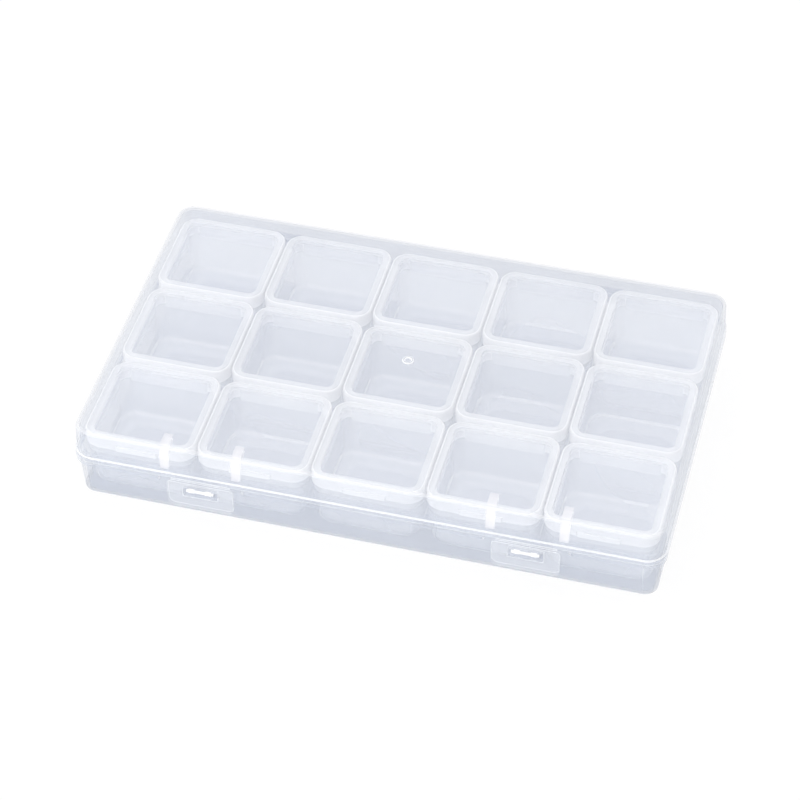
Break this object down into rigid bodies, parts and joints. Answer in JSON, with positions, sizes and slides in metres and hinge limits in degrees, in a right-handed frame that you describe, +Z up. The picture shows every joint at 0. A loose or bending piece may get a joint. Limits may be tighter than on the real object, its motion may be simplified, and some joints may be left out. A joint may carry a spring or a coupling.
{
  "type": "craft organizer case",
  "caption": "Flat clear moulded case with a hinged lid and front latch flaps, holding a grid of small square boxes with hinged lids for beads and small parts.",
  "frame": {"origin": "centre of the case's flat underside, midway along its length and between its front and rear rims", "axes": "+X along the case to its right end seen from the latches, +Y from the latches to the hinge, +Z up"},
  "size_m": [0.175, 0.1129, 0.0263],
  "materials": {
    "case_polypropylene": "moulded clear polypropylene, soft gloss",
    "box_polypropylene": "moulded clear polypropylene, soft gloss"
  },
  "bodies": {
    "base": {"case_base": "case_polypropylene", "small_tray_r1c1": "box_polypropylene", "small_tray_r1c2": "box_polypropylene", "small_tray_r1c3": "box_polypropylene", "small_tray_r1c4": "box_polypropylene", "small_tray_r1c5": "box_polypropylene", "small_tray_r2c1": "box_polypropylene", "small_tray_r2c2": "box_polypropylene", "small_tray_r2c3": "box_polypropylene", "small_tray_r2c4": "box_polypropylene", "small_tray_r2c5": "box_polypropylene", "small_tray_r3c1": "box_polypropylene", "small_tray_r3c2": "box_polypropylene", "small_tray_r3c3": "box_polypropylene", "small_tray_r3c4": "box_polypropylene", "small_tray_r3c5": "box_polypropylene"},
    "lid": {"case_lid": "case_polypropylene"},
    "latch_left": {"latch_left": "case_polypropylene"},
    "latch_right": {"latch_right": "case_polypropylene"},
    "small_lid_r1c1": {"small_lid_r1c1": "box_polypropylene"},
    "small_lid_r1c2": {"small_lid_r1c2": "box_polypropylene"},
    "small_lid_r1c3": {"small_lid_r1c3": "box_polypropylene"},
    "small_lid_r1c4": {"small_lid_r1c4": "box_polypropylene"},
    "small_lid_r1c5": {"small_lid_r1c5": "box_polypropylene"},
    "small_lid_r2c1": {"small_lid_r2c1": "box_polypropylene"},
    "small_lid_r2c2": {"small_lid_r2c2": "box_polypropylene"},
    "small_lid_r2c3": {"small_lid_r2c3": "box_polypropylene"},
    "small_lid_r2c4": {"small_lid_r2c4": "box_polypropylene"},
    "small_lid_r2c5": {"small_lid_r2c5": "box_polypropylene"},
    "small_lid_r3c1": {"small_lid_r3c1": "box_polypropylene"},
    "small_lid_r3c2": {"small_lid_r3c2": "box_polypropylene"},
    "small_lid_r3c3": {"small_lid_r3c3": "box_polypropylene"},
    "small_lid_r3c4": {"small_lid_r3c4": "box_polypropylene"},
    "small_lid_r3c5": {"small_lid_r3c5": "box_polypropylene"}
  },
  "joints": [
    {"name": "lid_hinge", "type": "hinge", "parent": "base", "child": "lid", "pos_m": [0, 0.056, 0.0148], "axis": [-1, 0, 0], "range_deg": [0, 180]},
    {"name": "latch_left_fold", "type": "hinge", "parent": "lid", "child": "latch_left", "pos_m": [-0.0481, -0.0535, 0.0148], "axis": [-1, 0, 0], "range_deg": [0, 120]},
    {"name": "latch_right_fold", "type": "hinge", "parent": "lid", "child": "latch_right", "pos_m": [0.0481, -0.0535, 0.0148], "axis": [-1, 0, 0], "range_deg": [0, 120]},
    {"name": "small_lid_r1c1_fold", "type": "hinge", "parent": "base", "child": "small_lid_r1c1", "pos_m": [-0.06812, 0.05095, 0.0183], "axis": [-1, 0, 0], "range_deg": [0, 90]},
    {"name": "small_lid_r1c2_fold", "type": "hinge", "parent": "base", "child": "small_lid_r1c2", "pos_m": [-0.03406, 0.05095, 0.0183], "axis": [-1, 0, 0], "range_deg": [0, 90]},
    {"name": "small_lid_r1c3_fold", "type": "hinge", "parent": "base", "child": "small_lid_r1c3", "pos_m": [0, 0.05095, 0.0183], "axis": [-1, 0, 0], "range_deg": [0, 90]},
    {"name": "small_lid_r1c4_fold", "type": "hinge", "parent": "base", "child": "small_lid_r1c4", "pos_m": [0.03406, 0.05095, 0.0183], "axis": [-1, 0, 0], "range_deg": [0, 90]},
    {"name": "small_lid_r1c5_fold", "type": "hinge", "parent": "base", "child": "small_lid_r1c5", "pos_m": [0.06812, 0.05095, 0.0183], "axis": [-1, 0, 0], "range_deg": [0, 90]},
    {"name": "small_lid_r2c1_fold", "type": "hinge", "parent": "base", "child": "small_lid_r2c1", "pos_m": [-0.06812, 0.01692, 0.0183], "axis": [-1, 0, 0], "range_deg": [0, 90]},
    {"name": "small_lid_r2c2_fold", "type": "hinge", "parent": "base", "child": "small_lid_r2c2", "pos_m": [-0.03406, 0.01692, 0.0183], "axis": [-1, 0, 0], "range_deg": [0, 90]},
    {"name": "small_lid_r2c3_fold", "type": "hinge", "parent": "base", "child": "small_lid_r2c3", "pos_m": [0, 0.01692, 0.0183], "axis": [-1, 0, 0], "range_deg": [0, 90]},
    {"name": "small_lid_r2c4_fold", "type": "hinge", "parent": "base", "child": "small_lid_r2c4", "pos_m": [0.03406, 0.01692, 0.0183], "axis": [-1, 0, 0], "range_deg": [0, 90]},
    {"name": "small_lid_r2c5_fold", "type": "hinge", "parent": "base", "child": "small_lid_r2c5", "pos_m": [0.06812, 0.01692, 0.0183], "axis": [-1, 0, 0], "range_deg": [0, 90]},
    {"name": "small_lid_r3c1_fold", "type": "hinge", "parent": "base", "child": "small_lid_r3c1", "pos_m": [-0.06812, -0.01712, 0.0183], "axis": [-1, 0, 0], "range_deg": [0, 90]},
    {"name": "small_lid_r3c2_fold", "type": "hinge", "parent": "base", "child": "small_lid_r3c2", "pos_m": [-0.03406, -0.01712, 0.0183], "axis": [-1, 0, 0], "range_deg": [0, 90]},
    {"name": "small_lid_r3c3_fold", "type": "hinge", "parent": "base", "child": "small_lid_r3c3", "pos_m": [0, -0.01712, 0.0183], "axis": [-1, 0, 0], "range_deg": [0, 90]},
    {"name": "small_lid_r3c4_fold", "type": "hinge", "parent": "base", "child": "small_lid_r3c4", "pos_m": [0.03406, -0.01712, 0.0183], "axis": [-1, 0, 0], "range_deg": [0, 90]},
    {"name": "small_lid_r3c5_fold", "type": "hinge", "parent": "base", "child": "small_lid_r3c5", "pos_m": [0.06812, -0.01712, 0.0183], "axis": [-1, 0, 0], "range_deg": [0, 90]}
  ],
  "couplings": [
    {"joint": "small_lid_r1c1_fold", "follows": "lid_hinge", "ratio": 0.5},
    {"joint": "small_lid_r1c2_fold", "follows": "lid_hinge", "ratio": 0.5},
    {"joint": "small_lid_r1c3_fold", "follows": "lid_hinge", "ratio": 0.5},
    {"joint": "small_lid_r1c4_fold", "follows": "lid_hinge", "ratio": 0.5},
    {"joint": "small_lid_r1c5_fold", "follows": "lid_hinge", "ratio": 0.5},
    {"joint": "small_lid_r2c1_fold", "follows": "lid_hinge", "ratio": 0.5},
    {"joint": "small_lid_r2c2_fold", "follows": "lid_hinge", "ratio": 0.5},
    {"joint": "small_lid_r2c3_fold", "follows": "lid_hinge", "ratio": 0.5},
    {"joint": "small_lid_r2c4_fold", "follows": "lid_hinge", "ratio": 0.5},
    {"joint": "small_lid_r2c5_fold", "follows": "lid_hinge", "ratio": 0.5},
    {"joint": "small_lid_r3c1_fold", "follows": "lid_hinge", "ratio": 0.5},
    {"joint": "small_lid_r3c2_fold", "follows": "lid_hinge", "ratio": 0.5},
    {"joint": "small_lid_r3c3_fold", "follows": "lid_hinge", "ratio": 0.5},
    {"joint": "small_lid_r3c4_fold", "follows": "lid_hinge", "ratio": 0.5},
    {"joint": "small_lid_r3c5_fold", "follows": "lid_hinge", "ratio": 0.5}
  ]
}
